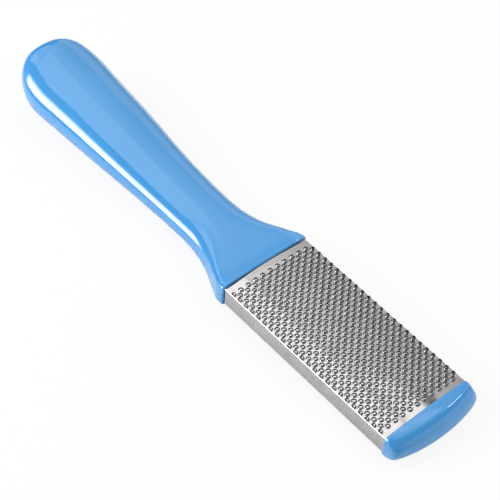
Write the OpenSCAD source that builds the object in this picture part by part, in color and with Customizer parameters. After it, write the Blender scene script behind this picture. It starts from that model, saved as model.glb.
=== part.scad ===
// Double-sided foot file: a moulded handle, a core that fills the head, a coarse rasp sheet
// above it, a fine rasp sheet below it and an end cap. X runs from the butt to the tip,
// Z is up, and the underside of the grip lies at height zero.

/* [Head] */
// Width of the metal head
head_w = 43; // [39:0.5:47]
// Bare length of the metal between the handle and the cap
head_l = 91.5; // [80:0.5:105]
// Height of the metal's side band
band_h = 8.7; // [7.6:0.1:9.6]
// Rise of each rasp face from its long edges to its middle
crown = 0.95; // [0.5:0.05:1.3]
// Height of the head's middle plane above the underside of the grip
head_lift = 8.2; // [7.8:0.1:9]

/* [Coarse sheet] */
// Thickness of the coarse sheet
coarse_t = 0.6; // [0.4:0.05:0.8]
// Width of the flat that the tight fold leaves along each long edge
fold_flat = 0.3; // [0.2:0.05:0.35]
// Distance between coarse teeth across the head
coarse_pitch = 3.85; // [3.4:0.05:4.2]
// Distance between coarse teeth along the head
coarse_run = 3.63; // [3.4:0.01:4.2]
// Height of a coarse tooth
coarse_tooth_h = 0.85; // [0.5:0.05:1.1]
// Bore punched through each coarse tooth
coarse_bore_d = 0.8; // [0.6:0.05:0.9]
// Plain strip between the handle and the first row of coarse teeth
coarse_start = 4.4; // [3.5:0.1:8]

/* [Fine sheet] */
// Thickness of the fine sheet
fine_t = 0.5; // [0.4:0.05:0.7]
// Distance between fine teeth across the head
fine_pitch = 2.6; // [2.4:0.05:3.2]
// Distance between fine teeth along the head
fine_run = 2.6; // [2.4:0.05:3.2]
// Height of a fine tooth
fine_tooth_h = 0.4; // [0.3:0.05:0.6]
// Height of the fine sheet's folded edges
fine_edge_h = 3; // [2:0.1:3.5]
// Plain strip between the handle and the first row of fine teeth
fine_start = 5; // [3.5:0.1:8]

/* [Handle] */
// Length of the handle from its butt to its mouth
handle_l = 148.5; // [138:0.5:160]
// Width that the grip would reach at the butt if its end were not rounded
butt_w = 42.4; // [38:0.2:46]
// Thickness that the grip would reach at the butt if its end were not rounded
butt_t = 26.4; // [23:0.2:29]
// Width of the neck
neck_w = 26.8; // [25:0.2:30]
// Thickness of the neck
neck_t = 13.8; // [13.2:0.2:15.6]
// Length of the flare from the neck to the mouth
flare_l = 34.6; // [30:0.2:38]
// Length over which the butt is rounded as seen from above
plan_end_l = 25.4; // [20:0.2:30]
// Length over which the top of the butt is rounded
top_end_l = 12; // [9:0.5:16]
// Length over which the underside of the butt is rounded
under_end_l = 17; // [12:0.5:22]
// Height of the foremost point of the butt
nose_h = 18; // [12:0.5:19]
// Wall of the mouth round the metal
mouth_wall = 1.05; // [0.8:0.05:1.3]
// Depth to which the metal is housed in the mouth
seat_l = 5; // [3:0.5:7]

/* [End cap] */
// Length of the cap past the bare metal
cap_l = 10.5; // [9:0.1:13]
// Wall of the cap's rim round the metal
rim_wall = 1.05; // [0.8:0.05:1.3]
// Depth to which the metal is housed in the rim
rim_l = 2; // [1.5:0.1:2.5]

/* [Core] */
// Width of the tongue that holds the handle
tongue_w = 16; // [12:0.5:18]
// Thickness of the tongue
tongue_t = 5; // [4:0.1:5.4]
// Length of the tongue past the end of the metal
tongue_l = 20; // [15:0.5:22]
// Width of the tenon that holds the cap
tenon_w = 24; // [18:0.5:28]
// Thickness of the tenon
tenon_t = 4; // [3:0.1:4.6]
// Length of the tenon past the end of the metal
tenon_l = 3; // [2:0.1:3.5]

/* [Fit] */
// Clearance between the parts that are pushed together
clear = 0.1; // [0.05:0.01:0.15]

/* [Hidden] */
blue = [0.36, 0.64, 0.9];
dark_blue = [0.24, 0.42, 0.62];
steel = [0.78, 0.78, 0.77];
overrun = 1;

// Places along X
total_l = handle_l + head_l + cap_l;
butt_x = -total_l / 2;
mouth_x = butt_x + handle_l;
bare_end_x = mouth_x + head_l;
metal_x = mouth_x - seat_l + clear;
metal_l = seat_l + head_l + rim_l - 2 * clear;

// Half sizes of the head, and the teeth as shares of the strip that each stands on
half_w = head_w / 2;
half_h = band_h / 2;
tooth_base_share = 0.88;
coarse_rim_share = 0.62;
fine_rim_share = 0.5;
root_share = 0.5;
tooth_sides = 24;

// Flare of the handle: place from the mouth to the neck, and share of the mouth's size kept
flare_shares = [[0, 1], [0.08, 0.99], [0.25, 0.73], [0.6, 0.22], [1, 0]];
// Swell of the grip: place from the neck to the end, and share of the butt's size reached
swell_shares = [[0.125, 0.04], [0.31, 0.18], [0.525, 0.46], [0.75, 0.65], [1, 1]];
// Underside of the flare: place from the mouth to the neck, and share of the mouth's height
under_shares = [[0, 1], [0.25, 0.32], [0.6, 0], [1, 0]];
// Squareness of the sections: place from the mouth to the neck, and exponent of the section
square_shares = [[0, 7.9], [0.25, 6.3], [0.6, 3.2], [1, 2.4]];
plan_roundness = 2.44;
top_roundness = 3;
under_roundness = 1.53;

// Lip of the mouth, and the numbers of sections along the handle
lip_shares = [0, 0.12, 0.4, 0.75];
lip_drop_share = 0.4;
section_sides = 48;
flare_rings = 14;
grip_rings = 17;
end_rings = 14;

// Form of the cap: its plan, and the slope from its crease down to the middle plane
cap_skirt_share = 0.12;
cap_crease_share = 0.38;
cap_bow_share = 0.39;
cap_edge_share = 1.15;
cap_squareness = 9;
cap_side_angle = 62;
cap_front_roundness = 1.65;
cap_side_roundness = 3.8;
cap_steps = 41;
cap_levels = 20;

// Slope of a table of points between one point and the next
function slope(t, i) = (t[i + 1][1] - t[i][1]) / (t[i + 1][0] - t[i][0]);

// Slope of the smooth curve at a point: level at a turning point, so it never overshoots
function bend(t, i) =
    i == 0 ? slope(t, 0)
  : i == len(t) - 1 ? slope(t, i - 1)
  : let (a = slope(t, i - 1), b = slope(t, i)) a * b <= 0 ? 0 : 2 * a * b / (a + b);

// Smooth curve through a table of points
function through(t, x, i = 0) =
    i < len(t) - 2 && x > t[i + 1][0] ? through(t, x, i + 1)
  : let (w = t[i + 1][0] - t[i][0], s = (x - t[i][0]) / w)
    t[i][1] * (1 + 2 * s) * pow(1 - s, 2) + bend(t, i) * w * s * pow(1 - s, 2)
    + t[i + 1][1] * s * s * (3 - 2 * s) + bend(t, i + 1) * w * s * s * (s - 1);

// Point of a unit superellipse at an angle: exponent 2 is a circle, and more is squarer
function unit_point(a, p) =
    let (r = pow(pow(abs(cos(a)), p) + pow(abs(sin(a)), p), -1 / p)) [r * cos(a), r * sin(a)];

// Height of the rasp faces from the head's middle plane, at a distance across the head
function face_z(y) = half_h + crown * (1 - pow(y / half_w, 2));

// Numbers of teeth across and along a sheet
function across(width, pitch) =
    floor((width - pitch / 2 * tooth_base_share - 2 * fold_flat) / pitch + 1 / 2);
function along(run, start) = floor((head_l - 2 * start) * 2 / run + 1) + 1;

// Lines across a crowned face between which it is flat, so that every tooth stands on a flat
function strip_lines(width, pitch) =
    let (n = across(width, pitch) + 1, edge = width / 2 - fold_flat)
    concat([-edge], [for (k = [-n : n]) if (abs(k * pitch / 2) < edge) k * pitch / 2], [edge]);

// Outline of a crowned sheet with both edges folded down to a height, and their ends eased
function folded_outline(width, wall, pitch, low) =
    let (lines = strip_lines(width, pitch), w = width / 2, inner = w - wall, eased = wall / 2)
    concat(
      [[-w + eased, low], [-w, low + eased], [-w, face_z(w) - fold_flat]],
      [for (y = lines) [y, face_z(y)]],
      [[w, face_z(w) - fold_flat], [w, low + eased], [w - eased, low]],
      [[inner, low], [inner, face_z(inner) - wall]],
      [for (k = [len(lines) - 1 : -1 : 0]) let (y = lines[k]) if (abs(y) < inner) [y, face_z(y) - wall]],
      [[-inner, face_z(inner) - wall], [-inner, low]]);

// Outline between both rasp faces, let out or drawn in, with its corners cut by the fold's flat
function filled_outline(w, up, down, n = 12) =
    let (e = w - fold_flat, t = face_z(w) + up - fold_flat, b = -face_z(w) - down + fold_flat)
    concat(
      [[-w, b], [-w, t]], [for (k = [-n : n]) [e * k / n, face_z(e * k / n) + up]],
      [[w, t], [w, b]], [for (k = [n : -1 : -n]) [e * k / n, -face_z(e * k / n) - down]]);

// Extrusion along X of an outline drawn across and up from the head's middle plane
module along_head(from_x, length) {
  translate([from_x, 0, head_lift]) rotate([90, 0, 90]) linear_extrude(length) children();
}

// Bar of rectangular section on the head's middle plane
module bar(from_x, length, width, height) {
  translate([from_x, -width / 2, head_lift - height / 2]) cube([length, width, height]);
}

// Places of the teeth, with the rows set a quarter of the distance to either side by turns, and
// each tooth square to the strip that it stands on
module on_face(width, pitch, run, start) {
  n = across(width, pitch);
  lines = strip_lines(width, pitch);
  for (i = [0 : along(run, start) - 1], j = [0 : n - 1]) {
    y = (j - (n - 1) / 2 + (i % 2) / 2 - 1 / 4) * pitch;
    lo = max([for (l = lines) if (l < y) l]);
    hi = min([for (l = lines) if (l > y) l]);
    share = (y - lo) / (hi - lo);
    translate([mouth_x + start + i * run / 2, y, face_z(lo) * (1 - share) + face_z(hi) * share])
      rotate([atan((face_z(hi) - face_z(lo)) / (hi - lo)), 0, 0]) children();
  }
}

// Frustum of one tooth, with its root in the sheet
module tooth(base_d, rim_d, height, wall) {
  root = wall * root_share;
  root_d = base_d + (base_d - rim_d) * root / height;
  translate([0, 0, -root]) cylinder(h = height + root, d1 = root_d, d2 = rim_d, $fn = tooth_sides);
}

// Folded sheet with its teeth raised
module toothed(width, wall, pitch, run, start, low, height, rim_share) {
  along_head(metal_x, metal_l) polygon(folded_outline(width, wall, pitch, low));
  translate([0, 0, head_lift]) on_face(width, pitch, run, start)
    tooth(pitch / 2 * tooth_base_share, pitch / 2 * rim_share, height, wall);
}

module coarse_sheet() {
  bore_l = coarse_t + coarse_tooth_h + 2 * overrun;
  color(steel) difference() {
    toothed(head_w, coarse_t, coarse_pitch, coarse_run, coarse_start, -half_h,
            coarse_tooth_h, coarse_rim_share);
    translate([0, 0, head_lift]) on_face(head_w, coarse_pitch, coarse_run, coarse_start)
      translate([0, 0, -coarse_t - overrun])
        cylinder(h = bore_l, d = coarse_bore_d, $fn = tooth_sides);
  }
}

module fine_sheet() {
  color(steel) translate([0, 0, 2 * head_lift]) mirror([0, 0, 1])
    toothed(head_w - 2 * (coarse_t + clear), fine_t, fine_pitch, fine_run, fine_start,
            half_h - fine_edge_h, fine_tooth_h, fine_rim_share);
}

// Core, rebated along its lower edges for the folds of the fine sheet
module core() {
  wide = half_w - coarse_t - clear;
  rebate_w = fine_t + clear;
  rebate_top = fine_edge_h - half_h + clear;
  color(dark_blue) union() {
    along_head(metal_x, metal_l) difference() {
      polygon(filled_outline(wide, -coarse_t - clear, -fine_t - clear));
      for (side = [-1, 1]) translate([side * (wide - rebate_w / 2 + overrun / 2), -half_h])
        square([rebate_w + overrun, 2 * (half_h + rebate_top)], center = true);
    }
    bar(metal_x - tongue_l, tongue_l + seat_l, tongue_w, tongue_t);
    bar(metal_x + metal_l - rim_l, rim_l + tenon_l, tenon_w, tenon_t);
  }
}

// Space for the end of the head
module socket(from_x, length) {
  along_head(from_x, length) polygon(filled_outline(half_w + clear, clear, clear));
}

// Tables of the handle's half width, half thickness, underside and squareness
mouth_half_w = half_w + mouth_wall;
mouth_half_h = half_h + crown + mouth_wall;
grip_l = handle_l - flare_l;
function sizes(mouth, neck, butt) = concat(
    [for (s = flare_shares) [s[0] * flare_l, neck + (mouth - neck) * s[1]]],
    [for (s = swell_shares) [flare_l + s[0] * grip_l, neck + (butt - neck) * s[1]]]);
half_widths = sizes(mouth_half_w, neck_w / 2, butt_w / 2);
half_heights = sizes(mouth_half_h, neck_t / 2, butt_t / 2);
undersides = concat(
    [for (s = under_shares) [s[0] * flare_l, s[1] * (head_lift - mouth_half_h)]], [[handle_l, 0]]);
squarenesses = concat(
    [for (s = square_shares) [s[0] * flare_l, s[1]]], [[handle_l, square_shares[3][1]]]);

// Share of its full size that the handle keeps at a place in a rounded end
function kept(u, l, p) =
    let (t = (u - handle_l + l) / l) t <= 0 ? 1 : t >= 1 ? 0 : pow(1 - pow(t, p), 1 / p);

// Amount by which the rounded lip of the mouth draws a section in
function lip_drop(u) =
    u >= mouth_wall ? 0 : mouth_wall * lip_drop_share * (1 - sqrt(1 - pow(1 - u / mouth_wall, 2)));

// Distances of the sections from the mouth
ring_places = concat(
    [for (s = lip_shares) s * mouth_wall],
    [for (k = [1 : flare_rings]) mouth_wall + (flare_l - mouth_wall) * k / flare_rings],
    [for (k = [1 : grip_rings]) flare_l + (grip_l - plan_end_l) * k / grip_rings],
    [for (k = [1 : end_rings - 1]) handle_l - plan_end_l * (1 - sin(90 * k / end_rings))]);

// Angles of a section's corners. None is at the middle of the top or of the underside, which
// leaves a narrow flat along both, and the file lies on the lower one.
section_angles = [for (k = [0 : section_sides - 1])
    if (k % (section_sides / 2) != section_sides / 4) 360 * k / section_sides];

// Corner of a unit section, stretched so that its flats lie at full height
function corner(a, p) =
    let (q = unit_point(a, p), flat = unit_point(90 - 360 / section_sides, p)) [q[0], q[1] / flat[1]];

// Points of the section at a distance from the mouth
function ring(u) =
    let (low = through(undersides, u),
         top = low + 2 * through(half_heights, u),
         t = nose_h + (top - nose_h) * kept(u, top_end_l, top_roundness),
         b = nose_h - (nose_h - low) * kept(u, under_end_l, under_roundness),
         w = through(half_widths, u) * kept(u, plan_end_l, plan_roundness) - lip_drop(u),
         h = (t - b) / 2 - lip_drop(u))
    [for (a = section_angles) let (q = corner(a, through(squarenesses, u)))
      [mouth_x - u, w * q[0], (t + b) / 2 + h * q[1]]];

module handle_form() {
  n = len(section_angles);
  m = len(ring_places);
  polyhedron(
    concat([for (u = ring_places) each ring(u)], [[butt_x, 0, nose_h], [mouth_x, 0, head_lift]]),
    concat(
      [for (k = [0 : n - 1]) [(k + 1) % n, k, m * n + 1]],
      [for (i = [0 : m - 2], k = [0 : n - 1])
        [i * n + k, i * n + (k + 1) % n, (i + 1) * n + (k + 1) % n, (i + 1) * n + k]],
      [for (k = [0 : n - 1]) [(m - 1) * n + k, (m - 1) * n + (k + 1) % n, m * n]]));
}

module handle() {
  pocket_l = seat_l + tongue_l;
  color(blue) difference() {
    handle_form();
    socket(mouth_x - seat_l, seat_l + overrun);
    bar(mouth_x - pocket_l, tongue_l + seat_l / 2, tongue_w + 2 * clear, tongue_t + 2 * clear);
  }
}

// Point of the cap's front: from the crease out to the middle plane, and round from side to side
cap_half_w = half_w + rim_wall;
crease_half_w = cap_half_w - rim_wall * cap_edge_share;
function cap_angle(i) =
    i == 0 ? -90 : i == cap_steps ? 90 : cap_side_angle * (2 * (i - 1) / (cap_steps - 2) - 1);
function cap_point(i, j) =
    let (c = unit_point(cap_angle(i), cap_squareness),
         bow = (1 - cap_bow_share * pow(c[1], 2)) * c[0],
         skirt = cap_l * cap_skirt_share,
         crease = [skirt + (cap_l * cap_crease_share - skirt) * bow, crease_half_w * c[1]],
         outer = [skirt + (cap_l - skirt) * bow, cap_half_w * c[1]],
         m = cap_side_roundness + (cap_front_roundness - cap_side_roundness) * pow(c[0], 2),
         v = unit_point(-90 + 180 * j / cap_levels, m),
         plan = crease + (outer - crease) * v[0])
    [bare_end_x + plan[0], plan[1], head_lift + (face_z(plan[1]) + rim_wall) * v[1]];

// Point of the cap's back, straight behind the front's side or spread along the crease's width
function back_point(i, j) =
    j > 0 && j < cap_levels
  ? let (p = cap_point(i, j)) [bare_end_x, p[1], p[2]]
  : let (y = crease_half_w * sin(cap_angle(i)), side = j > 0 ? 1 : -1)
    [bare_end_x, y, head_lift + side * (face_z(y) + rim_wall)];

// Cap: its front, the lands above and below, and a flat back against the bare metal's end
module cap_form() {
  n = cap_levels + 1;
  rim = concat(
    [for (i = [0 : cap_steps]) [i, cap_levels]],
    [for (j = [cap_levels - 1 : -1 : 0]) [cap_steps, j]],
    [for (i = [cap_steps - 1 : -1 : 0]) [i, 0]],
    [for (j = [1 : cap_levels - 1]) [0, j]]);
  at = [for (r = rim) r[0] * n + r[1]];
  count = len(rim);
  base = (cap_steps + 1) * n;
  polyhedron(
    concat(
      [for (i = [0 : cap_steps], j = [0 : cap_levels]) cap_point(i, j)],
      [for (r = rim) back_point(r[0], r[1])],
      [[bare_end_x, 0, head_lift]]),
    concat(
      [for (i = [0 : cap_steps - 1], j = [0 : cap_levels - 1])
        [i * n + j, i * n + j + 1, (i + 1) * n + j + 1, (i + 1) * n + j]],
      [for (k = [0 : count - 1]) [at[k], base + k, base + (k + 1) % count, at[(k + 1) % count]]],
      [for (k = [0 : count - 1]) [base + (k + 1) % count, base + k, base + count]]));
}

module end_cap() {
  color(blue) difference() {
    cap_form();
    socket(bare_end_x - overrun, rim_l + overrun);
    bar(bare_end_x + rim_l / 2, rim_l / 2 + tenon_l, tenon_w + 2 * clear, tenon_t + 2 * clear);
  }
}

handle();
core();
coarse_sheet();
fine_sheet();
end_cap();
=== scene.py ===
# %% [markdown]
# A double-sided foot file is a rasp on a handle: a steel head, wrapped round a plastic core, sits
# between a blue moulded handle and a blue end cap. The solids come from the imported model, in
# metres, and each visible piece is drawn again here as a smooth surface over its solid.

import bpy
import numpy as np
from mathutils import Matrix, Quaternion, Vector


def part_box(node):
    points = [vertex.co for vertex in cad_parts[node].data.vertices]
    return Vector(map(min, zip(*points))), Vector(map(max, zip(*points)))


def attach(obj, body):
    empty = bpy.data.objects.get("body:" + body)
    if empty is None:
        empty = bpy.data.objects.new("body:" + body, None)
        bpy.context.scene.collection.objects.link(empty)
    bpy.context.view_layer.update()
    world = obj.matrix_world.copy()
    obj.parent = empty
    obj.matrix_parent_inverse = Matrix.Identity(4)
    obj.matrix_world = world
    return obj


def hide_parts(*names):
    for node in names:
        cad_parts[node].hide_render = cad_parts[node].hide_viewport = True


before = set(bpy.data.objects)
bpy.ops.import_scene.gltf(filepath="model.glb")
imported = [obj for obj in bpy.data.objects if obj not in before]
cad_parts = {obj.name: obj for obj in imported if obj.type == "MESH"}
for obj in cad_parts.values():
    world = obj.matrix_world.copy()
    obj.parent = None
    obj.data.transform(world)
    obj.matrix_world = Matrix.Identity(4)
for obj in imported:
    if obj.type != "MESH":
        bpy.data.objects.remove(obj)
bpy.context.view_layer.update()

# %% [markdown]
# The solids say where each piece ends, so the main sizes are read from their boxes. Half the
# height of the side bands and the rise of the crowned face are typed, because no box gives them.
# Lengths are in millimetres, as on a maker's drawing, and turned to metres when a mesh is made.

# %% Sizes from the solids, in millimetres
MM = 0.001


def box_mm(node):
    """Lowest and highest corner of a solid, in millimetres."""
    low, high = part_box(node)
    return np.array(low) / MM, np.array(high) / MM


handle_low, handle_high = box_mm("handle")
sheet_low, sheet_high = box_mm("coarse_sheet")
cap_low, cap_high = box_mm("end_cap")
MOUTH_X = handle_high[0]
HANDLE_L = MOUTH_X - handle_low[0]
END_X = cap_low[0]
CAP_L = cap_high[0] - END_X
HALF_W = sheet_high[1]
WALL = cap_high[1] - HALF_W
HALF_H = 4.35
CROWN = 0.95
# Height of the head's middle plane
LIFT = sheet_low[2] + HALF_H
print("mouth at", MOUTH_X, "handle", HANDLE_L, "head", END_X - MOUTH_X, "cap", CAP_L, "lift", LIFT)

# %% [markdown]
# Every piece here is a grid of points or a closed row of rings. Two helpers turn such arrays into
# meshes: one joins neighbouring points with four-sided faces, and one closes the ends of a tube
# with a fan. A mesh whose enclosed volume comes out negative is inside out, so it is flipped.


# %% From arrays to a mesh
def quads_between(first, second):
    """Faces from one closed row of point numbers to the next: (a, b, b', a') for each pair."""
    return np.stack([first, np.roll(first, -1), np.roll(second, -1), second], 1)


def fan(row, pole):
    """Triangles from each pair of neighbours in a closed row to one pole."""
    return np.stack([row, np.roll(row, -1), np.full(len(row), pole)], 1)


def volume(points, faces):
    """Enclosed volume: a sixth of the sum of a . (b x c) over the triangles of every face."""
    total = 0.0
    for face in faces:
        for k in range(1, face.shape[1] - 1):
            a, b, c = points[face[:, 0]], points[face[:, k]], points[face[:, k + 1]]
            total += np.einsum("ij,ij->i", a, np.cross(b, c)).sum() / 6
    return total


def make_piece(name, points, faces, material, sharp=40, last=None):
    """Object at the origin from points in millimetres and a list of face arrays. The shading is
    smooth except over edges that turn by more than sharp degrees. The faces of the last array
    take the material last, if there is one."""
    points = np.asarray(points, float).reshape(-1, 3)
    inside_out = volume(points, faces) < 0
    if inside_out:
        faces = [face[:, ::-1] for face in faces]
    corners = np.concatenate([face.ravel() for face in faces])
    sides = np.concatenate([np.full(len(face), face.shape[1]) for face in faces])
    mesh = bpy.data.meshes.new(name)
    mesh.vertices.add(len(points))
    mesh.vertices.foreach_set("co", (points * MM).astype(np.float32).ravel())
    mesh.loops.add(len(corners))
    mesh.loops.foreach_set("vertex_index", corners.astype(np.int32))
    mesh.polygons.add(len(sides))
    starts = np.concatenate([[0], np.cumsum(sides)[:-1]])
    mesh.polygons.foreach_set("loop_start", starts.astype(np.int32))
    mesh.polygons.foreach_set("use_smooth", np.full(len(sides), True))
    mesh.update(calc_edges=True)
    mesh.validate()
    mesh.set_sharp_from_angle(angle=np.radians(sharp))
    mesh.materials.append(material)
    if last:
        mesh.materials.append(last)
        slots = np.zeros(len(sides), np.int32)
        slots[len(sides) - len(faces[-1]):] = 1
        mesh.polygons.foreach_set("material_index", slots)
    piece = bpy.data.objects.new(name, mesh)
    bpy.context.scene.collection.objects.link(piece)
    print(f"{name}: {len(points)} points, {len(sides)} faces")
    return piece


def tube(rings, start, end):
    """Points and faces of a row of closed rings with a pole at each end: rings is (rows, sides, 3)."""
    rows, sides = rings.shape[:2]
    number = np.arange(rows * sides).reshape(rows, sides)
    points = np.concatenate([rings.reshape(-1, 3), [start, end]])
    walls = np.concatenate([quads_between(number[i], number[i + 1]) for i in range(rows - 1)])
    ends = np.concatenate([fan(number[0], rows * sides)[:, ::-1], fan(number[-1], rows * sides + 1)])
    return points, [walls, ends]


# %% [markdown]
# Colours are written as a paint chip gives them, in sRGB hex, and Blender wants linear light.
# One small function adds a node, sets its values and joins its inputs, and every material below
# is built with it.


# %% Colour and node helpers
def linear(hex_colour):
    """sRGB hex to linear: c / 12.92 below 0.04045, and ((c + 0.055) / 1.055) ^ 2.4 above."""
    c = np.array([int(hex_colour[i:i + 2], 16) for i in (1, 3, 5)]) / 255
    return (*np.where(c <= 0.04045, c / 12.92, ((c + 0.055) / 1.055) ** 2.4), 1.0)


def add(tree, kind, settings=None, **inputs):
    """Adds a node. settings are its own fields, and inputs are values or sockets to link. An
    input goes by its label, with _ for each space, or by its number after an i."""
    node = tree.nodes.new(kind)
    for field, value in (settings or {}).items():
        setattr(node, field, value)
    for key, value in inputs.items():
        socket = node.inputs[int(key[1:]) if key[1:].isdigit() else key.replace("_", " ")]
        if isinstance(value, bpy.types.NodeSocket):
            tree.links.new(value, socket)
        else:
            socket.default_value = value
    return node


def new_material(name):
    """Empty material with its tree and an output node."""
    material = bpy.data.materials.new(name)
    material.use_nodes = True
    material.node_tree.nodes.clear()
    return material, material.node_tree, material.node_tree.nodes.new("ShaderNodeOutputMaterial")


# %% [markdown]
# The handle and the cap are ABS, injection moulded in a polished tool and coloured right through.
# It shows a deep even blue under a sharp clear gloss. Real mouldings are never quite perfect:
# the colour drifts a little from place to place, the skin has a faint ripple of about 12 mm from
# shrinkage, and dust of a few tenths of a millimetre makes tiny changes in the gloss. They are
# in the tint, the bump and the roughness. The reflections are stronger than those of bare ABS,
# so a clear lacquer lies over the blue, as a coat in the shader.

# %% Moulded ABS
# Widths of the drift, the ripple and the dust, in millimetres
DRIFT_W, RIPPLE_W, DUST_W = 55.6, 12.5, 0.3846


def per_metre(width):
    """Scale of a noise whose blotches are a number of millimetres wide."""
    return 1 / (width * MM)


def moulded_abs(name, colour, deeper, lacquer):
    """Glossy plastic that drifts from a colour to a deeper one; lacquer is the coat's weight."""
    material, tree, out = new_material(name)
    place = add(tree, "ShaderNodeTexCoord").outputs["Object"]
    cloud = add(tree, "ShaderNodeTexNoise", Vector=place, Scale=per_metre(DRIFT_W), Detail=2.0,
                Roughness=0.4)
    tint = add(tree, "ShaderNodeMix", {"data_type": "RGBA"}, i0=cloud.outputs["Fac"],
               i6=linear(colour), i7=linear(deeper))
    dust = add(tree, "ShaderNodeTexNoise", Vector=place, Scale=per_metre(DUST_W), Detail=3.0,
               Roughness=0.6)
    gloss = add(tree, "ShaderNodeMapRange", Value=dust.outputs["Fac"], From_Min=0.35, From_Max=0.75,
                To_Min=0.06, To_Max=0.13)
    ripple = add(tree, "ShaderNodeTexNoise", Vector=place, Scale=per_metre(RIPPLE_W), Detail=1.0)
    skin = add(tree, "ShaderNodeBump", Strength=0.03, Distance=0.0003, Height=ripple.outputs["Fac"])
    shader = add(tree, "ShaderNodeBsdfPrincipled", Base_Color=tint.outputs["Result"],
                 Roughness=gloss.outputs["Result"], IOR=1.53, Normal=skin.outputs["Normal"],
                 Coat_Weight=lacquer, Coat_Roughness=0.07, Coat_IOR=1.5)
    tree.links.new(shader.outputs["BSDF"], out.inputs["Surface"])
    return material


ABS_BLUE = moulded_abs("moulded_ABS_sky_blue", "#459BDD", "#4298DA", 1.0)
ABS_CORE = moulded_abs("moulded_ABS_core_blue", "#3D6B9E", "#3A6698", 0.0)
print("ABS materials:", ABS_BLUE.name, ABS_CORE.name)

# %% [markdown]
# The rasp sheets are bright rolled stainless steel about half a millimetre thick. Rolling leaves
# fine lines, a few hundredths of a millimetre apart, and handling leaves soft smudges. The lines
# run across the head and are drawn 0.45 mm apart and finer, because real ones would not show.
# They are in the tint and the bump, and the smudges are in the roughness. Where the punch tore
# the steel, the walls of the teeth are rougher, and they are painted a darker grey as well: that
# grey is painted shade, as falls between the close teeth. So they have a steel of their own.

# %% Rolled stainless steel
# Widths of a line and of a smudge in millimetres, and a line's length over its width
LINE_W, SMUDGE_W, LINE_REACH = 0.4545, 3.846, 12.5


def rolled_steel(name, colour, worn, low, high, grain):
    """Steel with a roughness from low to high, and lines of the height grain, in metres."""
    material, tree, out = new_material(name)
    place = add(tree, "ShaderNodeTexCoord").outputs["Object"]
    lined = add(tree, "ShaderNodeMapping", Vector=place, Scale=(1, 1 / LINE_REACH, 1 / LINE_REACH))
    lines = add(tree, "ShaderNodeTexNoise", Vector=lined.outputs["Vector"], Scale=per_metre(LINE_W),
                Detail=3.0)
    smudge = add(tree, "ShaderNodeTexNoise", Vector=place, Scale=per_metre(SMUDGE_W), Detail=3.0,
                 Roughness=0.6)
    streak = add(tree, "ShaderNodeMapRange", Value=lines.outputs["Fac"], From_Min=0.35, From_Max=0.7)
    tint = add(tree, "ShaderNodeMix", {"data_type": "RGBA"}, i0=streak.outputs["Result"],
               i6=linear(colour), i7=linear(worn))
    gloss = add(tree, "ShaderNodeMapRange", Value=smudge.outputs["Fac"], From_Min=0.3, From_Max=0.7,
                To_Min=low, To_Max=high)
    skin = add(tree, "ShaderNodeBump", Strength=1.0, Distance=grain, Height=lines.outputs["Fac"])
    shader = add(tree, "ShaderNodeBsdfPrincipled", Base_Color=tint.outputs["Result"], Metallic=1.0,
                 Roughness=gloss.outputs["Result"], Normal=skin.outputs["Normal"])
    tree.links.new(shader.outputs["BSDF"], out.inputs["Surface"])
    return material


STEEL = rolled_steel("rolled_stainless_steel", "#D6D4D3", "#C0BEBC", low=0.05, high=0.10, grain=0.000001)
# Rougher steel for the torn walls, with its grey painted darker as shade between the teeth
SHADED_TORN_STEEL = rolled_steel("torn_steel_painted_shade", "#8E8E91", "#7C7C7F", low=0.3, high=0.5, grain=0.000003)
print("steel materials:", STEEL.name, SHADED_TORN_STEEL.name)

# %% [markdown]
# The handle is one moulding. Seen from above it flares from the mouth round the metal to a narrow
# neck and swells to a rounded butt; its sections go from a rounded rectangle to an oval. Each
# outline is a smooth curve through a few measured places, eased by a bell so that reflections
# run over it without a kink. It could be sculpted, but rings of points keep every size in hand.


# %% Curves through measured places
def through(table, x):
    """Cubic through rows of (place, value). Each slope is the harmonic mean of its neighbours."""
    place, value = np.array(table, float).T
    slope = np.diff(value) / np.diff(place)
    before, after = slope[:-1], slope[1:]
    same = before * after > 0
    mean = np.where(same, 2 * before * after / np.where(same, before + after, 1), 0)
    bend = np.concatenate([slope[:1], mean, slope[-1:]])
    i = np.clip(np.searchsorted(place, x) - 1, 0, len(slope) - 1)
    w = place[i + 1] - place[i]
    s = (x - place[i]) / w
    return (value[i] * (1 + 2 * s) * (1 - s) ** 2 + bend[i] * w * s * (1 - s) ** 2
            + value[i + 1] * s * s * (3 - 2 * s) + bend[i + 1] * w * s * s * (s - 1))


# Width of the bell near the mouth and on the grip, and where and how slowly it grows
BELL_W, GRIP_BELL_W = 1, 9
BELL_FROM, BELL_OVER = 8, 50


def eased(table, u):
    """Mean of the curve under a bell that is wider on the grip than near the mouth. Past either
    end the curve is continued by turning it about its end point."""
    first, last = table[0][0], table[-1][0]
    share = np.clip((u - BELL_FROM) / BELL_OVER, 0, 1)
    width = BELL_W + (GRIP_BELL_W - BELL_W) * share * share * (3 - 2 * share)
    total = weights = 0
    for step in np.linspace(-3, 3, 41):
        x = u + step * width
        value = through(table, np.clip(x, first, last))
        for (end, size), past in ((table[0], x < first), (table[-1], x > last)):
            turned = 2 * size - through(table, np.clip(2 * end - x, first, last))
            value = np.where(past, turned, value)
        weight = np.exp(-step * step / 2)
        total = total + weight * value
        weights += weight
    return total / weights


def superellipse(angle, power):
    """Point of |y|^p + |z|^p = 1 on the ray at an angle: power 2 is a circle, more is squarer."""
    c, s = np.cos(angle), np.sin(angle)
    r = (np.abs(c) ** power + np.abs(s) ** power) ** (-1 / power)
    return r * c, r * s


# %% Measured places of the handle
MOUTH_HALF_W, MOUTH_HALF_H = HALF_W + WALL, HALF_H + CROWN + WALL
NECK_HALF_W, NECK_HALF_H = 13.4, 6.9
# The butt's sizes without its rounded end, and the height of its nose
BUTT_HALF_W, BUTT_HALF_H, NOSE_H = 21.2, 13.2, 18
FLARE_L = 34.6
GRIP_L = HANDLE_L - FLARE_L
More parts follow.
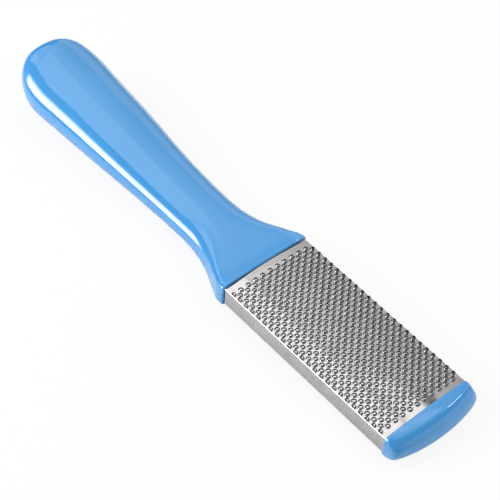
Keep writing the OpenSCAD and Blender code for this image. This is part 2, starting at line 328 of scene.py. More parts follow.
# Rows of (share of the length, share of the change in size)
FLARE_SHARES = [(0, 1), (0.08, 0.99), (0.25, 0.73), (0.6, 0.22), (1, 0)]
SWELL_SHARES = [(0.125, 0.04), (0.31, 0.18), (0.525, 0.46), (0.75, 0.65), (1, 1)]
UNDER_SHARES = [(0, 1), (0.25, 0.32), (0.6, 0), (1, 0)]


def size_table(mouth, neck, butt):
    """Rows of (millimetres from the mouth, size) from the shares of the flare and the swell."""
    return ([(s * FLARE_L, neck + (mouth - neck) * v) for s, v in FLARE_SHARES]
            + [(FLARE_L + s * GRIP_L, neck + (butt - neck) * v) for s, v in SWELL_SHARES])


HALF_WIDTHS = size_table(MOUTH_HALF_W, NECK_HALF_W, BUTT_HALF_W)
HALF_HEIGHTS = size_table(MOUTH_HALF_H, NECK_HALF_H, BUTT_HALF_H)
# Heights of the underside, and the powers of the sections, from the mouth to the butt
UNDERSIDES = [(s * FLARE_L, v * (LIFT - MOUTH_HALF_H)) for s, v in UNDER_SHARES] + [(HANDLE_L, 0)]
SQUARENESSES = [(0, 7.9), (0.25 * FLARE_L, 6.3), (0.6 * FLARE_L, 3.2), (FLARE_L, 2.4), (HANDLE_L, 2.4)]
print("half widths:", [(round(a, 1), round(b, 2)) for a, b in HALF_WIDTHS])

# %% [markdown]
# The mouth of the handle and the rim of the cap are hollow: the head slides into them with a
# tenth of a millimetre to spare. So the rings turn in over a small rounded lip, go down the wall
# of the socket and close at its bottom. The lip catches a thin light line along the steel, and
# the gap beside it stays dark, as on the real file.


# %% Outline of the head's ends
def face_z(y):
    """Height of the crowned face over the head's middle plane: half height + crown (1 - (y/w)^2)."""
    return HALF_H + CROWN * (1 - (y / HALF_W) ** 2)


def head_outline(space, top, side, corner, radius):
    """Closed outline of the head let out by a space: crowned top, round corner, side, and the
    same below. The numbers of steps are for half the top, half the side and each corner."""
    w = HALF_W + space
    edge = w - radius
    y = edge * np.sin(np.linspace(0, np.pi / 2, top + 1))
    run = np.stack([y, face_z(y) + space], 1)
    turn = np.linspace(np.pi / 2, 0, corner + 2)[1:-1]
    low = face_z(edge) + space - radius
    arc = np.stack([edge + radius * np.cos(turn), low + radius * np.sin(turn)], 1)
    drop = np.stack([np.full(side, w), low * (1 - np.arange(side) / side)], 1)
    quarter = np.concatenate([run, arc, drop])
    below = quarter[::-1] * (1, -1)
    right = np.concatenate([quarter, [[w, 0]], below])
    left = right[::-1][1:-1] * (-1, 1)
    return np.concatenate([right, left])


SOCKET_SPACE = 0.1
SOCKET = head_outline(SOCKET_SPACE, top=26, side=9, corner=5, radius=0.5)
SOCKET_ANGLE = np.unwrap(np.arctan2(SOCKET[:, 1] / MOUTH_HALF_H, SOCKET[:, 0] / MOUTH_HALF_W))
print("points round the mouth:", len(SOCKET))

# %% [markdown]
# Each ring is a superellipse whose half width, half thickness and squareness depend on the
# distance u from the mouth. Towards the butt the three are multiplied by the profile of a
# rounded end, (1 - t^p)^(1/p), with its own length and roundness above, below and in plan.


# %% The handle's rings
# The length of the butt's rounded end above, below and in plan, and the power of its curve
TOP_END, UNDER_END, PLAN_END = (12, 3), (17, 1.53), (25.4, 2.44)


def kept(u, length, power):
    """Share of its full size that the handle keeps in an end rounded over a length."""
    t = np.clip((u - HANDLE_L + length) / length, 0, 1)
    return (1 - t ** power) ** (1 / power)


def handle_ring(u, angle):
    """Section at a distance u from the mouth, as points (x, y, z)."""
    low = eased(UNDERSIDES, u)
    high = low + 2 * eased(HALF_HEIGHTS, u)
    top = NOSE_H + (high - NOSE_H) * kept(u, *TOP_END)
    bottom = NOSE_H - (NOSE_H - low) * kept(u, *UNDER_END)
    width = eased(HALF_WIDTHS, u) * kept(u, *PLAN_END)
    across, up = superellipse(angle, eased(SQUARENESSES, u))
    return np.stack([MOUTH_X - u, width * across, (top + bottom) / 2 + (top - bottom) / 2 * up], -1)


LIP = 0.9
END_L = PLAN_END[0]
# The rings stand closest at the nose, and the three runs go from there to the lip
body_u = np.concatenate([HANDLE_L - END_L * (1 - np.sin(np.linspace(np.pi / 2, 0, 46)))[1:],
                         np.linspace(HANDLE_L - END_L, FLARE_L, 80)[1:],
                         np.linspace(FLARE_L, LIP, 60)[1:]])
U, ANGLE = np.meshgrid(body_u, SOCKET_ANGLE, indexing="ij")
body = handle_ring(U, ANGLE)
print("rings along the handle:", len(body_u))


# %% The lip and the socket of the mouth
# The most of the lip's width that its outer and its inner rounding may take
OUTER_SHARE, INNER_SHARE = 0.75, 0.2


def lip_rings(outer, inner, x_face, inward, radius_out, radius_in, depth):
    """Rings over a lip: a quarter round out of the outer wall, the flat face, a quarter round
    into the socket, and the socket's wall. inward is the direction of the socket along X."""
    inner = np.column_stack([np.full(len(inner), x_face), inner[:, 0], inner[:, 1] + LIFT])
    flat = outer.copy()
    flat[:, 0] = x_face
    span = inner - flat
    length = np.linalg.norm(span, axis=1)[:, None]
    out = np.minimum(radius_out / length, OUTER_SHARE)
    into = np.minimum(radius_in / length, INNER_SHARE)
    rows = []
    for a in np.linspace(0, np.pi / 2, 7)[1:]:
        row = flat + span * out * (1 - np.cos(a))
        row[:, 0] += inward * radius_out * (1 - np.sin(a))
        rows.append(row)
    for a in np.linspace(0, np.pi / 2, 7):
        row = flat + span * (1 - into * (1 - np.sin(a)))
        row[:, 0] += inward * radius_in * (1 - np.cos(a))
        rows.append(row)
    floor = inner.copy()
    floor[:, 0] += inward * depth
    return np.array(rows + [floor])


# %% The handle
SOCKET_LIP, MOUTH_DEPTH = 0.12, 4.9
mouth = lip_rings(body[-1], SOCKET, MOUTH_X, -1, LIP, SOCKET_LIP, MOUTH_DEPTH)
points, faces = tube(np.concatenate([body, mouth]), (MOUTH_X - HANDLE_L, 0, NOSE_H),
                     (MOUTH_X - MOUTH_DEPTH, 0, LIFT))
handle = make_piece("handle_moulding", points, faces, ABS_BLUE)
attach(handle, "root")
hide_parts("handle")

# %% [markdown]
# The cap is a short moulding. A land lies above and below the steel, and a bowed crease parts it
# from the front, which leans out to the middle plane. The crease is crisp in the middle and
# melts into the corners. A box with bevelled edges could not do that, so the front is a surface
# of two angles: one runs round the plan, and one from the lower crease over the middle plane to
# the upper one.


# %% The cap's front
CAP_W = HALF_W + WALL
CREASE_W = CAP_W - WALL * 2.2
# From the steel to the outer line at the sides, and to the crease in the middle and at its ends
SKIRT, CREASE_L, CREASE_END = CAP_L * 0.12, CAP_L * 0.46, 0.85
# From the steel to the land, and how far the land drops to the crease
LAND_START, LAND_DROP = 0.35, 0.2
# Powers of the crease and of the outer line in plan, and how much the outer line is bowed
CREASE_POWER, PLAN_POWER, PLAN_BOW = 2.15, 8, 0.35
# Powers of the front's section: below and above at the sides, and in the middle
LOWER_POWER, UPPER_POWER, MIDDLE_POWER = 3.4, 2.4, 1.65
print("half widths of the cap and its crease:", CAP_W, CREASE_W)


def cap_front(a, b):
    """Front point for the plan angle a and the height angle b, both from -90 to 90 degrees.
    The crease is half an oval in plan and the outer line a bowed square; b runs along a
    superellipse whose power falls from the side to the middle of the front. At the sides the
    lower edge is squarer than the upper one, and the land drops a little towards the crease."""
    e0, e1 = superellipse(a, CREASE_POWER)
    c0, c1 = superellipse(a, PLAN_POWER)
    crease_x, crease_y = CREASE_END + (CREASE_L - CREASE_END) * e0, CREASE_W * e1
    outer_x = SKIRT + (CAP_L - SKIRT) * (1 - PLAN_BOW * c1 ** 2) * c0
    outer_y = CAP_W * c1
    side_power = np.where(b < 0, LOWER_POWER, UPPER_POWER)
    v0, v1 = superellipse(b, side_power + (MIDDLE_POWER - side_power) * c0 ** 2)
    x, y = crease_x + (outer_x - crease_x) * v0, crease_y + (outer_y - crease_y) * v0
    thickness = face_z(y) + WALL - LAND_DROP * crease_x / CREASE_L
    return np.stack([END_X + x, y, LIFT + thickness * v1], -1)


def cap_land(a, side):
    """Point above (side 1) or below (side -1) where the land meets the steel."""
    y = CREASE_W * np.sin(a)
    x = np.full_like(y, END_X + LAND_START)
    return np.stack([x, y, LIFT + side * (face_z(y) + WALL)], -1)


# %% [markdown]
# The crease is rounded by a curve between a point on the land and one on the front, with the
# crease itself as the point that pulls it. The three have the shares (1 - k)^2, k^2 and
# 2k (1 - k) as k goes from 0 to 1. Both ends stand further off towards the corners, so the
# rounding grows there.

# %% The rounded crease
PLAN_STEPS, RISE_STEPS, ROUND_STEPS = 120, 44, 6
# Degrees of the front that the rounding takes, in the middle and at the corners
MIDDLE_CUT, CORNER_CUT = 3, 20
# How far it reaches back on the land, what the corners add, and the most of the land it takes
ROUND_BACK, CORNER_BACK, MOST_BACK = 0.35, 1.9, 0.7
t = np.linspace(-1, 1, PLAN_STEPS + 1)
# The steps in plan draw closer towards the sides
plan = np.radians(90 * np.sign(t) * (1 - (1 - np.abs(t)) ** 1.3))
corner_share = np.abs(np.sin(plan)) ** 5
round_from = np.radians(90 - MIDDLE_CUT - (CORNER_CUT - MIDDLE_CUT) * corner_share)
s = np.sin(np.linspace(-np.pi / 2, np.pi / 2, RISE_STEPS + 1))
rise = round_from[:, None] * s
middle = cap_front(plan[:, None] * np.ones_like(rise), rise)


def rounded_crease(side):
    """Rows of points from the land over the crease to the front."""
    crease = cap_front(plan, np.full_like(plan, side * np.pi / 2))
    land = cap_land(plan, side)
    back = land - crease
    length = np.linalg.norm(back, axis=1)[:, None]
    off = np.minimum(ROUND_BACK + CORNER_BACK * corner_share[:, None], MOST_BACK * length)
    start, finish = crease + back / length * off, middle[:, -1 if side > 0 else 0]
    k = np.linspace(0, 1, ROUND_STEPS)[:-1, None, None]
    curve = (1 - k) ** 2 * start + 2 * k * (1 - k) * crease + k ** 2 * finish
    return curve.transpose(1, 0, 2)


upper, lower = rounded_crease(1), rounded_crease(-1)
front = np.concatenate([lower, middle, upper[:, ::-1]], 1)
number = np.arange(front.shape[0] * front.shape[1]).reshape(front.shape[:2])
rim = np.concatenate([number[:, -1], number[-1, -2::-1], number[-2::-1, 0], number[0, 1:-1]])
print("cap front:", front.shape, "points round its rim:", len(rim))

# %% [markdown]
# Behind the crease the land runs straight back to the steel. There it turns over a rounded edge
# like the handle's lip and goes into its own socket, which is about two millimetres deep.

# %% The end cap
CAP_SPACE, CAP_DEPTH = 0.12, 1.9
sides = front[-1, -2::-1][:-1] * (0, 1, 1) + (END_X + LAND_START, 0, 0)
back = np.concatenate([cap_land(plan, 1), sides, cap_land(plan[::-1], -1), sides[::-1] * (1, -1, 1)])
share = np.stack([back[:, 1] / CAP_W, (back[:, 2] - LIFT) / (face_z(back[:, 1]) + WALL)], 1)
hole_y = share[:, 0] * (HALF_W + CAP_SPACE)
hole = np.stack([hole_y, share[:, 1] * (face_z(np.clip(hole_y, -HALF_W, HALF_W)) + CAP_SPACE)], 1)
wall = np.concatenate([back[None], lip_rings(back, hole, END_X, 1, LAND_START, SOCKET_LIP, CAP_DEPTH)])
first = front.shape[0] * front.shape[1]
number_wall = first + np.arange(wall.shape[0] * wall.shape[1]).reshape(wall.shape[:2])
points = np.concatenate([front.reshape(-1, 3), wall.reshape(-1, 3), [[END_X + CAP_DEPTH, 0, LIFT]]])
grid = np.stack([number[:-1, :-1], number[:-1, 1:], number[1:, 1:], number[1:, :-1]], -1)
rings = [rim, *number_wall]
walls = [quads_between(rings[i], rings[i + 1]) for i in range(len(rings) - 1)]
cap = make_piece("end_cap_moulding", points, [np.concatenate([grid.reshape(-1, 4)] + walls),
                                              fan(number_wall[-1], len(points) - 1)], ABS_BLUE)
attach(cap, "root")
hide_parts("end_cap")

# %% [markdown]
# Each rasp sheet is punched flat, crowned and folded down along both long edges. Its section is
# a line offset to both sides by half the thickness: up one side band, round a tight fold, over
# the crowned face and down again. The strip is then drawn along the head. A bent plane with a
# Solidify modifier would do much the same, but its hems would be square and not round.


# %% A folded sheet
def folded_line(half_w, low, thickness, radius, top=90, corner=8, side=8):
    """Middle line of the sheet and its normals, from one hem to the other: points (y, z)."""
    w = half_w - thickness / 2
    edge = w - radius
    y = np.linspace(0, edge, top + 1)
    crowned = np.stack([y, face_z(y) - thickness / 2], 1)
    slope = -2 * CROWN * y / HALF_W ** 2
    crowned_normal = np.stack([-slope, np.ones_like(y)], 1)
    turn = np.linspace(np.pi / 2, 0, corner + 2)[1:]
    fold_z = crowned[-1, 1] - radius
    arc = np.stack([edge + radius * np.cos(turn), fold_z + radius * np.sin(turn)], 1)
    arc_normal = np.stack([np.cos(turn), np.sin(turn)], 1)
    z = np.linspace(fold_z, low + thickness / 2, side + 1)[1:]
    band = np.stack([np.full(side, w), z], 1)
    band_normal = np.stack([np.ones(side), np.zeros(side)], 1)
    half = np.concatenate([crowned, arc, band])
    normal = np.concatenate([crowned_normal, arc_normal, band_normal])
    normal /= np.linalg.norm(normal, axis=1)[:, None]
    line = np.concatenate([half[::-1] * (-1, 1), half[1:]])
    normals = np.concatenate([normal[::-1] * (-1, 1), normal[1:]])
    return line, normals


def sheet_mesh(half_w, low, thickness, radius, x0, x1):
    """Points and faces of the folded strip, with rounded hems and closed ends."""
    line, normals = folded_line(half_w, low, thickness, radius)
    outer, inner = line + normals * thickness / 2, line - normals * thickness / 2
    hem = np.linspace(0, np.pi, 7)[1:-1, None]
    across, down = thickness / 2, np.array([0, -1])
    hem_end = line[-1] + across * (np.cos(hem) * normals[-1] + np.sin(hem) * down)
    hem_start = line[0] + across * (np.cos(hem) * -normals[0] + np.sin(hem) * down)
    loop = np.concatenate([outer, hem_end, inner[::-1], hem_start])
    rows = np.array([np.column_stack([np.full(len(loop), x), loop]) for x in (x0, x1)])
    count, n, h = len(loop), len(line), len(hem)
    number = np.arange(2 * count).reshape(2, count)
    o, i = np.arange(n), n + h + np.arange(n)[::-1]
    strip = np.stack([o[:-1], o[1:], i[1:], i[:-1]], 1)
    hems = []
    for start, centre in ((n - 1, n + h), (2 * n + h - 1, 0)):
        around = np.arange(start, start + h + 1)
        hems.append(np.stack([around, (around + 1) % count, np.full(h + 1, centre)], 1)[:-1])
    hems = np.concatenate(hems)
    walls = quads_between(number[0], number[1])
    ends = [strip[:, ::-1], strip + count]
    tips = [hems[:, ::-1], hems + count]
    return rows.reshape(-1, 3), [np.concatenate([walls, *ends]), np.concatenate(tips)]


def raise_head(points, under=False):
    """Lifts a head drawn round its middle plane to its height, turned over for the underside."""
    return points * (1, 1, -1 if under else 1) + (0, 0, LIFT)


# %% [markdown]
# A coarse tooth is punched from below: the sheet swells up round the punch, tears open and
# leaves a ring like a small crater. Its profile rises in a hollow curve from a wide foot to a
# thin rim and drops steeply inside. The slopes of the foot are still bright rolled steel, and the
# floor shines again. The torn walls and the rim are rougher, and their steel is painted a darker
# grey: that is painted shade, as falls between close teeth. Copies of one tooth would all be
# torn alike, so five hundred are worked out together as one mesh. Each has a size of its own,
# and its rim is a little higher on one side, which is picked at random.

# %% One crater and its places
# The rows are pairs of radius and height over the face, in millimetres
COARSE_PROFILE = np.array([(1.30, -0.02), (1.14, 0.05), (1.00, 0.15), (0.92, 0.27), (0.88, 0.42),
                           (0.84, 0.56), (0.79, 0.67), (0.73, 0.71), (0.67, 0.70), (0.61, 0.61),
                           (0.57, 0.45), (0.54, 0.26)])
# The bands of faces, counted from the foot, that are smooth slopes
FOOT_ROWS = 3
# The lattice of the teeth: the first place and the steps along and across the head
COARSE_FIRST_X, COARSE_STEP = 4.42, 1.8155
COARSE_FIRST_Y, COARSE_PITCH = -20.77, 3.882
COARSE_ROWS, COARSE_COLUMNS = 47, 11


def teeth_places(first_x, step, first_y, pitch, rows, columns):
    """Places (x, y) of staggered teeth: every second row is set on by half the pitch."""
    row, column = np.meshgrid(np.arange(rows), np.arange(columns), indexing="ij")
    x, y = MOUTH_X + first_x + row * step, first_y + (column + row % 2 / 2) * pitch
    return np.stack([x, y], -1).reshape(-1, 2)


coarse_places = teeth_places(COARSE_FIRST_X, COARSE_STEP, COARSE_FIRST_Y, COARSE_PITCH,
                             COARSE_ROWS, COARSE_COLUMNS)
print("coarse teeth:", len(coarse_places))


# %% From the flat sheet to the folded one
def onto_sheet(x, y, height, half_w, radius):
    """Carries points at a height over the flat sheet to the folded one, square to its face. A
    distance past the fold's start runs on round the fold and then down the side band."""
    edge = half_w - radius
    over = np.clip(np.abs(y) - edge, 0, None)
    angle = np.clip(over / radius, 0, np.pi / 2)
    extra = np.clip(over - radius * np.pi / 2, 0, None)
    y_in = np.clip(np.abs(y), 0, edge)
    tilt = np.where(over > 0, angle, np.arctan(2 * CROWN * y_in / HALF_W ** 2))
    out = y_in + radius * np.sin(angle) + height * np.sin(tilt)
    up = face_z(y_in) - radius * (1 - np.cos(angle)) - extra + height * np.cos(tilt)
    return np.stack([x, np.sign(y) * out, up], -1)


# %% All the teeth of a sheet
# How much the rings differ in size, and the least lean, as shares of how torn the teeth are
RING_SPREAD, LEAST_LEAN = 0.35, 0.4
# Width along the fold where the teeth are ironed flat, and over which they come back
IRONED_W, IRONED_FADE = 0.15, 0.5
# Width along the fold where the teeth stand higher, and by what share
OUTER_W, OUTER_RISE = 2.5, 0.6
# How deep ironed steel and the centre of a foot lie under the face
SUNK, FOOT_DEPTH = 0.02, 0.15


def teeth_mesh(places, profile, sides, half_w, radius, torn, seed):
    """Points and faces of all the teeth. Each is a stack of rings, from the foot to the floor
    inside: radius and height come from the profile, and the cosine of the angle to its highest
    side makes it lean. The outermost teeth stand higher, but the fold irons flat what reaches
    it. The faces are the slopes, the foot, the floor and, last, the torn ring for painted shade."""
    rng = np.random.default_rng(seed)
    turn = np.arange(sides) * 2 * np.pi / sides
    r, h = profile[None, :, 0, None], profile[None, :, 1, None]
    place_x, place_y = places[:, 0, None, None], places[:, 1, None, None]
    count, rows = len(places), len(profile)
    size = 1 + torn * RING_SPREAD * rng.uniform(-1, 1, (count, 1, 1))
    phase = rng.uniform(0, 2 * np.pi, (count, 1, 1))
    lean = torn * rng.uniform(LEAST_LEAN, 1, (count, 1, 1))
    raised = np.clip(h / h.max(), 0, 1)
    outer = 1 + OUTER_RISE * np.clip(np.abs(place_y) - half_w + OUTER_W, 0, 1)
    height = h * outer * (1 + lean * raised * np.cos(turn - phase))
    to_edge = half_w - np.abs(place_y + r * np.sin(turn))
    whole = np.clip((to_edge - IRONED_W) / IRONED_FADE, 0, 1)
    height = np.minimum(height, height * whole - SUNK * (1 - whole))
    ring = r * size
    points = onto_sheet(place_x + ring * np.cos(turn), place_y + ring * np.sin(turn), height,
                        half_w, radius)
    middle = points[:, -1].mean(1)
    foot_centre = points[:, 0].mean(1) - (0, 0, FOOT_DEPTH)
    number = np.arange(count * rows * sides).reshape(count, rows, sides)
    nxt = np.roll(number, -1, axis=2)
    walls = np.stack([number[:, :-1], nxt[:, :-1], nxt[:, 1:], number[:, 1:]], -1)
    # The torn ring goes last, for the darker steel whose grey is painted shade
    slopes, shaded_torn_ring = walls[:, :FOOT_ROWS].reshape(-1, 4), walls[:, FOOT_ROWS:].reshape(-1, 4)
    poles = count * rows * sides + np.arange(count)[:, None] + np.zeros((1, sides), int)
    floor = np.stack([number[:, -1], nxt[:, -1], poles], -1)
    foot = np.stack([nxt[:, 0], number[:, 0], poles + count], -1)
    everything = np.concatenate([points.reshape(-1, 3), middle, foot_centre])
    return everything, [slopes, foot.reshape(-1, 3), floor.reshape(-1, 3), shaded_torn_ring]


# %% The coarse sheet
COARSE_T, FOLD_R = 0.6, 0.42
# The steel stops a little short of the bottom of each socket
END_GAP = 0.1
SHEET_ENDS = MOUTH_X - MOUTH_DEPTH + END_GAP, END_X + CAP_DEPTH - END_GAP
strip_points, strip_faces = sheet_mesh(HALF_W, -HALF_H, COARSE_T, FOLD_R - COARSE_T / 2, *SHEET_ENDS)
tooth_points, tooth_faces = teeth_mesh(coarse_places, COARSE_PROFILE, 12, HALF_W, FOLD_R,
                                       torn=0.12, seed=7)
strip = make_piece("coarse_rasp_strip", raise_head(strip_points), strip_faces, STEEL)
# The torn walls and rims get the darker steel: its grey is painted shade between the teeth
teeth = make_piece("coarse_rasp_teeth", raise_head(tooth_points), tooth_faces, STEEL, last=SHADED_TORN_STEEL)
for piece in (strip, teeth):
    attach(piece, "root")
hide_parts("coarse_sheet")

# %% [markdown]
# The fine sheet is the same work on a smaller scale: shallower teeth, closer together, and low
# folded edges that tuck inside the coarse sheet's bands. It faces down.

# %% The fine sheet
FINE_HALF_W = box_mm("fine_sheet")[1][1]
FINE_T, FINE_FOLD_R, FINE_EDGE = 0.5, 0.55, 3
FINE_PROFILE = np.array([(0.78, -0.02), (0.62, 0.08), (0.5, 0.24), (0.42, 0.38), (0.34, 0.40),
                         (0.26, 0.28), (0.18, 0.06)])
FINE_FIRST_X, FINE_PITCH = 5, 2.6
FINE_ROWS, FINE_COLUMNS = 64, 15
fine_places = teeth_places(FINE_FIRST_X, FINE_PITCH / 2, -(FINE_COLUMNS - 0.5) / 2 * FINE_PITCH,
                           FINE_PITCH, FINE_ROWS, FINE_COLUMNS)
strip_points, strip_faces = sheet_mesh(FINE_HALF_W, HALF_H - FINE_EDGE, FINE_T,
                                       FINE_FOLD_R - FINE_T / 2, *SHEET_ENDS)
tooth_points, tooth_faces = teeth_mesh(fine_places, FINE_PROFILE, 10, FINE_HALF_W, FINE_FOLD_R,
                                       torn=0.1, seed=11)
fine_strip = make_piece("fine_rasp_strip", raise_head(strip_points, True), strip_faces, STEEL)
# The fine teeth's torn rings get the same steel, whose darker grey is painted shade
fine_teeth = make_piece("fine_rasp_teeth", raise_head(tooth_points, True), tooth_faces, STEEL,
                        last=SHADED_TORN_STEEL)
print("fine teeth:", len(fine_places))
for piece in (fine_strip, fine_teeth):
    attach(piece, "root")
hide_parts("fine_sheet")

# %% [markdown]
# The core is the plastic slab inside the head. The sheets, the handle and the cap hide it, so a
# smoother form would be wasted on it: it keeps its solid and gets the material of a darker
# moulding.

# %% The core keeps its solid
core_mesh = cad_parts["core"].data
core_mesh.materials.clear()
core_mesh.materials.append(ABS_CORE)
print("core faces:", len(core_mesh.polygons))

# %% [markdown]
# The file lies on a white table. Its straight underside ends before the cap's lower edge, so it
# tips forward by about a degree until the cap touches, and the table is tilted by that instead
# of the file. Stronger lamps would make the table white too, but they would bleach the file, so
# nine tenths of what the camera sees of it is plain white, and the rest takes the soft shadow.

# %% The table
WHITE_SHARE = 0.88


def white_table(name):
    """White paint that the camera sees mostly as plain white, and every other ray as paint."""
    material, tree, out = new_material(name)
    path = add(tree, "ShaderNodeLightPath")
    paper = add(tree, "ShaderNodeBsdfDiffuse", Color=linear("#F4F4F4"))
    glow = add(tree, "ShaderNodeEmission", Color=(1, 1, 1, 1), Strength=1.0)
    share = add(tree, "ShaderNodeMath", {"operation": "MULTIPLY"}, i0=path.outputs["Is Camera Ray"],
                i1=WHITE_SHARE)
    both = add(tree, "ShaderNodeMixShader", Fac=share.outputs["Value"], i1=paper.outputs["BSDF"],
               i2=glow.outputs["Emission"])
    tree.links.new(both.outputs["Shader"], out.inputs["Surface"])
    return material


# How far past the steel's end the cap touches the table, in millimetres
CAP_REST = 3
CAP_BOTTOM = LIFT - face_z(0) - WALL
TILT = np.arctan2(CAP_BOTTOM, END_X + CAP_REST)
# Half the table's width, and how far it lies under the file, in metres
REACH, HAIR = 6.0, 0.0001
floor_mesh = bpy.data.meshes.new("white_table")
corner_list = [(-REACH, -REACH), (REACH, -REACH), (REACH, REACH), (-REACH, REACH)]
floor_mesh.from_pydata([(x, y, x * np.tan(TILT) - HAIR) for x, y in corner_list], [], [(0, 1, 2, 3)])
floor_mesh.materials.append(white_table("white_painted_table"))
floor = bpy.data.objects.new("white_table", floor_mesh)
bpy.context.scene.collection.objects.link(floor)
print("table tilted by", round(float(np.degrees(TILT)), 2), "degrees")

# %% [markdown]
# The gloss shows what stood round the file, so the studio is worked out from it. A wide soft box
# overhead draws the pale band on the handle, with a thin dark frame that shows as a fine line,
# and two more sheets beside it carry the band on to the butt. A tall box and a low reflector by
# the near edge draw the white streak along the flank. Two pale walls light the far faces, and a
# window, a small lamp and its stand show in the bare steel. Area lamps could draw all that, but
# their light is even, and a card that shines can fade. Two soft lamps fill the shadows.


# %% Soft boxes
def shining(name, radiance, fades=(), beyond=0):
    """Light-giving material. Each fade (axis, dark, full) runs from nothing at one place in
    metres to the full radiance at another, in an S-shaped curve. Where it gives no light it is
    black, or clear if beyond is 1."""
    material, tree, out = new_material(name)
    place = add(tree, "ShaderNodeTexCoord").outputs["Object"]
    along = add(tree, "ShaderNodeSeparateXYZ", Vector=place)
    share = 1.0
    for axis, dark, full in fades:
        level = add(tree, "ShaderNodeMapRange", {"interpolation_type": "SMOOTHSTEP"},
                    Value=along.outputs[axis], From_Min=dark, From_Max=full)
        share = add(tree, "ShaderNodeMath", {"operation": "MULTIPLY"}, i0=share,
                    i1=level.outputs["Result"]).outputs["Value"]
    unlit = add(tree, "ShaderNodeBsdfTransparent", Color=(beyond, beyond, beyond, 1))
    glow = add(tree, "ShaderNodeEmission", Color=(1, 1, 1, 1), Strength=radiance)
    mixed = add(tree, "ShaderNodeMixShader", Fac=share, i1=unlit.outputs["BSDF"],
                i2=glow.outputs["Emission"])
    tree.links.new(mixed.outputs["Shader"], out.inputs["Surface"])
    return material


def black_cloth(name):
    """Dull black cloth of a soft box's frame."""
    material, tree, out = new_material(name)
    cloth = add(tree, "ShaderNodeBsdfDiffuse", Color=linear("#101010"))
    tree.links.new(cloth.outputs["BSDF"], out.inputs["Surface"])
    return material


# %% Cards and lamps
CORNER_REACH = 1.4


def card(name, corners, material, rim=None, rim_w=0.004):
    """Flat four-sided card, and a frame of a given width round it if it has a rim material. The
    frame's corners stand out by more than its width, as a square's do. The camera doesn't see
    a card, and it throws no shadow."""
    mesh = bpy.data.meshes.new(name)
    inner = [Vector(c) for c in corners]
    centre = sum(inner, Vector()) / 4
    outer = [c + (c - centre).normalized() * rim_w * CORNER_REACH for c in inner]
    ring = [(i, (i + 1) % 4, (i + 1) % 4 + 4, i + 4) for i in range(4)] if rim else []
    mesh.from_pydata(inner + (outer if rim else []), [], [(0, 1, 2, 3)] + ring)
    mesh.materials.append(material)
    if rim:
        mesh.materials.append(rim)
        mesh.polygons.foreach_set("material_index", [0, 1, 1, 1, 1])
    piece = bpy.data.objects.new(name, mesh)
    piece.visible_camera = piece.visible_shadow = False
    bpy.context.scene.collection.objects.link(piece)
    return piece


def fill_light(name, place, size, watts):
    """Square soft lamp aimed at the file's middle. Only dull surfaces show it, so it draws no
    streak."""
    lamp = bpy.data.lights.new(name, "AREA")
    lamp.size = size
    lamp.energy = watts
    piece = bpy.data.objects.new(name, lamp)
    piece.location = place
    piece.rotation_euler = (-Vector(place)).to_track_quat("-Z", "Y").to_euler()
    piece.visible_glossy = False
    bpy.context.scene.collection.objects.link(piece)


# %% What stood round the file
# Places are in metres
BOX_Z, SIDE_TOP = 1.0, 0.74
card("overhead_softbox", [(-0.60, 0.46, BOX_Z), (-0.22, 0.46, BOX_Z), (-0.05, -0.30, BOX_Z),
                          (-0.52, -0.34, BOX_Z)],
     shining("overhead_light", 1.45), rim=black_cloth("frame_cloth"))
card("left_sheet", [(-1.15, 0.15, BOX_Z), (-0.59, 0.12, BOX_Z), (-0.55, -0.20, BOX_Z),
                    (-1.15, -0.33, BOX_Z)], shining("left_light", 1.45))
card("end_sheet", [(-1.45, 0.78, BOX_Z), (-1.15, 0.70, BOX_Z), (-1.15, -0.33, BOX_Z),
                   (-1.45, -0.36, BOX_Z)], shining("end_light", 1.45))
card("right_backdrop", [(1.2, -0.5, 0.0), (0.5, 1.4, 0.0), (0.5, 1.4, 0.7), (1.2, -0.5, 0.7)],
     shining("right_wall_light", 0.8, [("Y", -0.5, 0.5)]))
card("far_backdrop", [(-2.0, 1.6, 0.0), (0.4, 1.6, 0.0), (0.4, 1.6, 2.3), (-2.0, 1.6, 2.3)],
     shining("far_wall_light", 0.9, [("Z", 2.3, 0.9), ("Z", -0.3, 1.2)], beyond=1))
card("window", [(-0.36, 0.48, BOX_Z), (-0.33, 0.615, BOX_Z), (-0.19, 0.66, BOX_Z),
                (-0.19, 0.48, BOX_Z)], shining("window_light", 1.4))
card("lamp_stand", [(-0.311, 0.615, BOX_Z), (-0.326, 0.70, BOX_Z), (-0.29, 0.70, BOX_Z),
                    (-0.28, 0.615, BOX_Z)], shining("stand_grey", 0.10))
card("small_lamp", [(-0.10, 0.67, BOX_Z), (-0.10, 0.84, BOX_Z), (0.14, 0.84, BOX_Z),
                    (0.14, 0.67, BOX_Z)], shining("small_lamp_light", 8.0))
side = card("side_softbox", [(-0.74, -0.54, 0.02), (-0.12, -0.85, 0.02), (-0.12, -0.85, SIDE_TOP),
                             (-0.74, -0.54, SIDE_TOP)],
            shining("side_light", 10.0, [("Z", SIDE_TOP, 0.30), ("X", -0.72, -0.56)]))
sheet = card("low_reflector", [(-0.70, -0.05, 0.002), (-0.05, -0.05, 0.002), (-0.12, -0.84, 0.002),
                               (-0.72, -0.54, 0.002)],
             shining("reflector_light", 6.5, [("Y", -0.06, -0.42), ("X", -0.72, -0.5)]))
# These two are only for the streak, so dull surfaces don't see them
for piece in (side, sheet):
    piece.visible_diffuse = False
fill_light("near_fill", (-0.42, -0.64, 0.42), 0.65, 7.3)
fill_light("far_fill", (0.75, 0.55, 0.8), 0.8, 5.5)
print("lamps:", len(bpy.data.lights))

# %% [markdown]
# The room is dim, with a round glow beyond the wide box that the far faces show. The camera sees
# plain white in its place. A picture of a studio could do the same, but these few values say
# what is where.


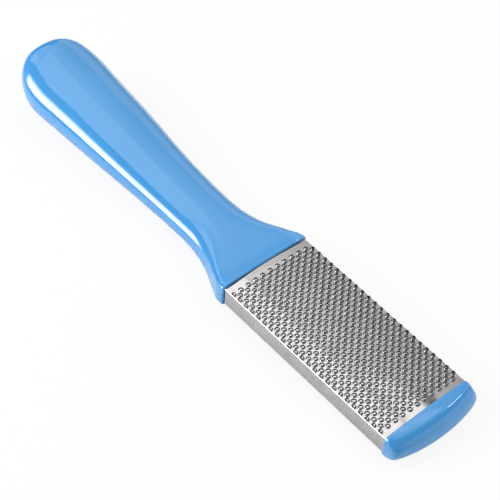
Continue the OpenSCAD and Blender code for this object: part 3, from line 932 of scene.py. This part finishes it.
# %% The room
def room_light(radiance, glow, azimuth, height, start, end):
    """Dim even light with a brighter round glow: full inside the angle start, none past end."""
    world = bpy.data.worlds.new("studio")
    bpy.context.scene.world = world
    world.use_nodes = True
    tree = world.node_tree
    tree.nodes.clear()
    out = tree.nodes.new("ShaderNodeOutputWorld")
    azimuth, height = np.radians(azimuth), np.radians(height)
    aim = (np.cos(height) * np.cos(azimuth), np.cos(height) * np.sin(azimuth), np.sin(height))
    direction = add(tree, "ShaderNodeTexCoord").outputs["Generated"]
    near = add(tree, "ShaderNodeVectorMath", {"operation": "DOT_PRODUCT"}, i0=direction, i1=aim)
    level = add(tree, "ShaderNodeMapRange", Value=near.outputs["Value"],
                From_Min=np.cos(np.radians(end)), From_Max=np.cos(np.radians(start)),
                To_Min=radiance, To_Max=glow)
    path = add(tree, "ShaderNodeLightPath")
    room = add(tree, "ShaderNodeBackground", Color=(1, 1, 1, 1), Strength=level.outputs["Result"])
    white = add(tree, "ShaderNodeBackground", Color=(1, 1, 1, 1), Strength=1.0)
    mixed = add(tree, "ShaderNodeMixShader", Fac=path.outputs["Is Camera Ray"],
                i1=room.outputs["Background"], i2=white.outputs["Background"])
    tree.links.new(mixed.outputs["Shader"], out.inputs["Surface"])


room_light(radiance=0.13, glow=1.05, azimuth=144, height=56, start=1, end=24)
print("room:", bpy.context.scene.world.name)

# %% [markdown]
# The camera stands where the photographer's did: about 0.72 m away, 49 degrees above the table,
# with a long lens, and rolled a little. Its place, the point that it looks at and the roll were
# worked out from the rows of teeth.

# %% Camera
# Places in metres, and the roll in degrees
CAMERA_PLACE = Vector((0.33688, -0.33051, 0.54581))
AIM = Vector((0.006383, 0.007594, 0))
ROLL = 5.847
camera_data = bpy.data.cameras.new("camera")
camera_data.sensor_width = 36.0
camera_data.lens = 126.0
camera_data.clip_start = 0.01
camera = bpy.data.objects.new("camera", camera_data)
level = (AIM - CAMERA_PLACE).to_track_quat("-Z", "Y")
turn = level @ Quaternion((0, 0, 1), np.radians(ROLL))
camera.matrix_world = Matrix.LocRotScale(CAMERA_PLACE, turn, None)
bpy.context.scene.collection.objects.link(camera)
bpy.context.scene.camera = camera
bpy.context.scene.view_settings.view_transform = "Standard"
print("camera stands off by", round(CAMERA_PLACE.length, 3), "m")
